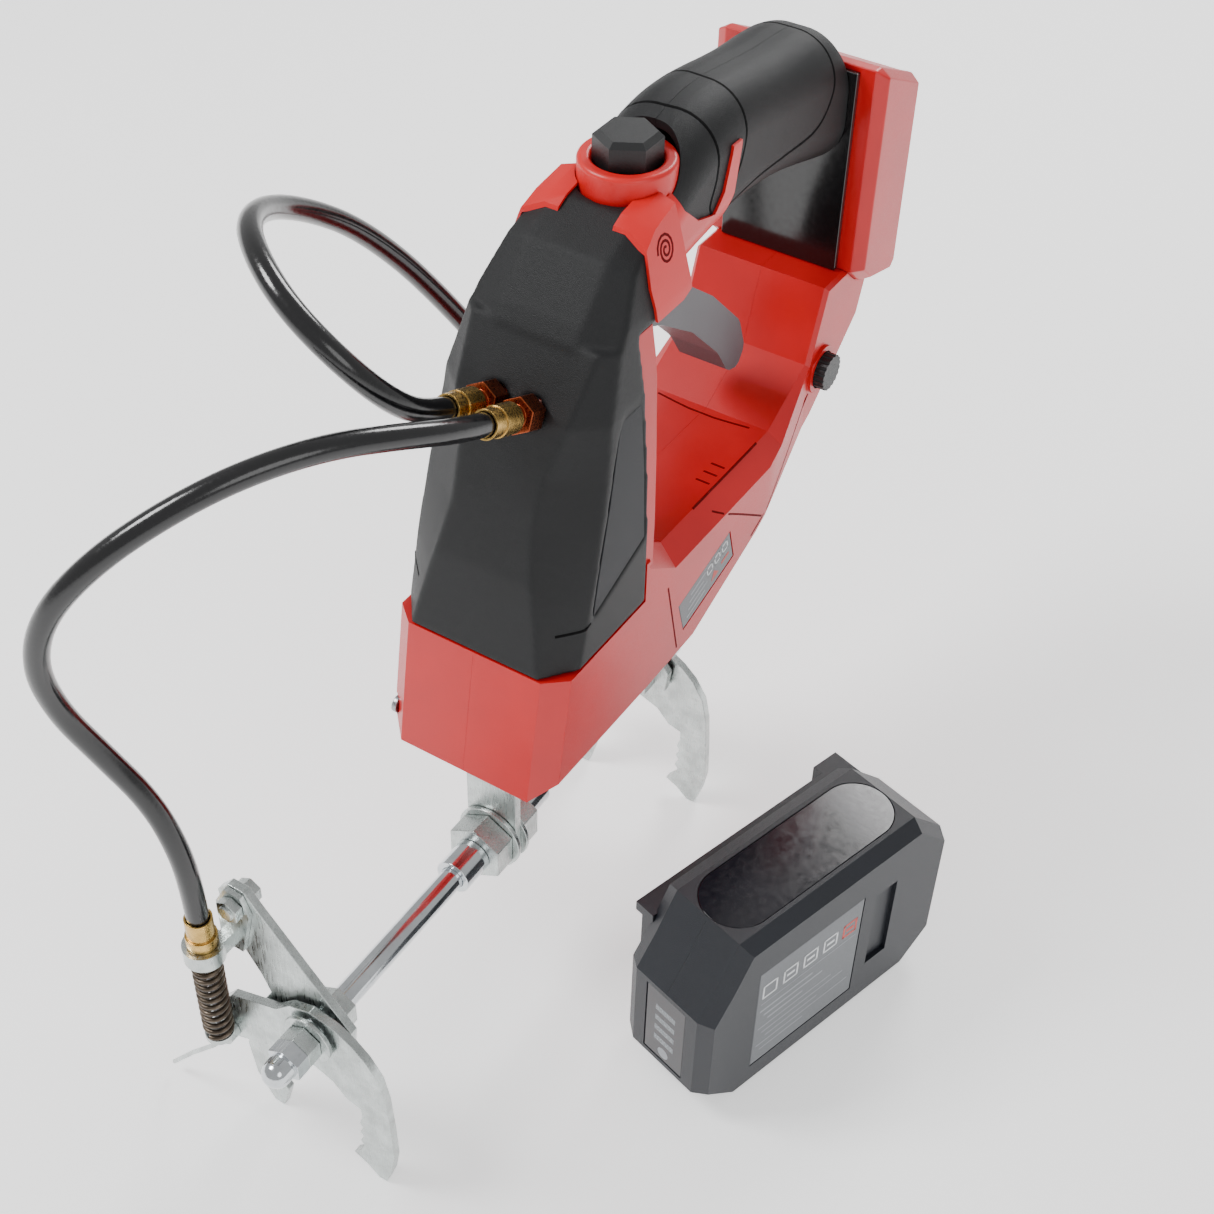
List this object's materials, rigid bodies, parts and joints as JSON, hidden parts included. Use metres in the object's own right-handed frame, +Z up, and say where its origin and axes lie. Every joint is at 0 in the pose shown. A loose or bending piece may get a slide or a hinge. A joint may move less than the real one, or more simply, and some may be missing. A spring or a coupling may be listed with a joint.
{
  "type": "cordless twin-claw cable tool",
  "caption": "Battery-powered D-handle hand tool that pulls sheathed cables to close toothed claws at the ends of a cross rod, with its battery pack standing beside it.",
  "frame": {"origin": "middle of the cross rod where it passes through the strip bracket", "axes": "+X to the front of the tool along the rod, +Y to its left, +Z up"},
  "size_m": [0.3259, 0.2073, 0.2865],
  "materials": {
    "housing_red": "satin moulded shell",
    "cover_black": "fine textured overmould",
    "panel_grey": "stippled panel",
    "trim_red": "satin",
    "mount_black": "matte",
    "trigger_grey": "satin",
    "button_black": "satin",
    "label_grey": "printed foil",
    "zinc": "zinc plated",
    "chrome": "polished",
    "brass": "plated",
    "copper": "passivated",
    "cable_black": "glossy sheath",
    "spring_steel": "dark wire",
    "steel": "turned",
    "copper_wire": "circuit board",
    "battery_navy": "satin",
    "panel_gloss": "glossy",
    "cell_wrap": "shrink wrap"
  },
  "bodies": {
    "tool": {"housing_left": "housing_red", "housing_right": "housing_red", "front_cover": "cover_black", "side_panels": "panel_grey", "grip_left": "cover_black", "grip_right": "cover_black", "trim_pieces": "trim_red", "battery_mount": "housing_red", "mount_wall": "mount_black", "mount_terminals": "mount_black", "rating_plate": "label_grey", "button_collar": "trim_red", "lock_spring": "spring_steel", "trigger_pin": "steel", "motor_can": "steel", "screw_bearings": "steel", "drive_frame": "zinc", "guide_rods": "steel", "control_board": "copper_wire", "trigger_switch": "button_black", "housing_screws": "steel", "cross_rod": "chrome", "strip_bracket": "zinc", "bracket_screws": "steel", "bracket_nuts": "zinc", "rod_washers": "zinc", "rod_sleeves": "chrome", "claw_nuts": "zinc", "acorn_nuts": "chrome", "anchor_arms": "zinc", "cable_stops": "zinc", "stop_bolts": "zinc", "return_spring_front": "spring_steel", "return_spring_rear": "spring_steel", "pull_wire_front": "steel", "pull_wire_rear": "steel", "cable_front": "cable_black", "cable_rear": "cable_black", "cable_adjusters": "copper", "cable_ferrules": "brass"},
    "trigger": {"trigger": "trigger_grey"},
    "lock_button": {"lock_button": "button_black"},
    "speed_dial": {"speed_dial": "button_black"},
    "drive_screw": {"drive_screw": "steel", "drive_gear": "steel"},
    "motor_rotor": {"motor_rotor": "steel", "motor_pinion": "brass"},
    "puller_yoke": {"puller_yoke": "zinc", "yoke_wires": "steel"},
    "hook_front": {"hook_arm_front": "zinc", "wire_clamp_front": "zinc"},
    "hook_rear": {"hook_arm_rear": "zinc", "wire_clamp_rear": "zinc"},
    "battery_pack": {"battery_case_front": "battery_navy", "battery_case_back": "battery_navy", "battery_label": "label_grey", "battery_top_panel": "panel_gloss", "charge_gauge": "panel_gloss", "battery_cells": "cell_wrap"},
    "battery_latch": {"battery_latch": "button_black"}
  },
  "joints": [
    {"name": "trigger_squeeze", "type": "hinge", "parent": "tool", "child": "trigger", "pos_m": [-0.06, 0, 0.176], "axis": [0, 1, 0], "range_deg": [0, 12], "stiffness_Nm_per_rad": 0.8, "springref_deg": -8.59},
    {"name": "lock_button_press", "type": "slide", "parent": "tool", "child": "lock_button", "axis": [0, 0, -1], "range_m": [0, 0.004], "stiffness_N_per_m": 600, "springref_m": -0.002, "deforming": ["lock_spring"]},
    {"name": "speed_dial_turn", "type": "hinge", "parent": "tool", "child": "speed_dial", "pos_m": [-0.161, 0.025, 0.102], "axis": [0, 1, 0], "range_deg": [0, 270]},
    {"name": "drive_screw_spin", "type": "hinge", "parent": "tool", "child": "drive_screw", "pos_m": [-0.021, 0, 0.1], "axis": [0, 0, 1], "range_deg": [0, 1440]},
    {"name": "motor_spin", "type": "hinge", "parent": "tool", "child": "motor_rotor", "pos_m": [-0.0042, 0, 0.07], "axis": [0, 0, 1], "range_deg": [-4321, 1]},
    {"name": "yoke_travel", "type": "slide", "parent": "tool", "child": "puller_yoke", "axis": [0, 0, -1], "range_m": [0, 0.0137]},
    {"name": "front_claw_close", "type": "hinge", "parent": "tool", "child": "hook_front", "pos_m": [0.096, 0, 0], "axis": [-1, 0, 0], "range_deg": [0, 19.1], "deforming": ["return_spring_front", "pull_wire_front"]},
    {"name": "rear_claw_close", "type": "hinge", "parent": "tool", "child": "hook_rear", "pos_m": [-0.096, 0, 0], "axis": [-1, 0, 0], "range_deg": [0, 19.1], "deforming": ["return_spring_rear", "pull_wire_rear"]},
    {"name": "battery_lift", "type": "slide", "parent": "tool", "child": "battery_pack", "axis": [0, 0, 1], "range_m": [0, 0.3]},
    {"name": "latch_press", "type": "slide", "parent": "battery_pack", "child": "battery_latch", "axis": [0.2807, 0.9598, 0], "range_m": [0, 0.002], "stiffness_N_per_m": 500, "springref_m": -0.002}
  ],
  "couplings": [
    {"joint": "motor_spin", "follows": "drive_screw_spin", "ratio": -3},
    {"joint": "yoke_travel", "follows": "drive_screw_spin", "m_per_rad": 0.00054113},
    {"joint": "front_claw_close", "follows": "drive_screw_spin", "ratio": 0.013194},
    {"joint": "rear_claw_close", "follows": "drive_screw_spin", "ratio": 0.013194}
  ]
}
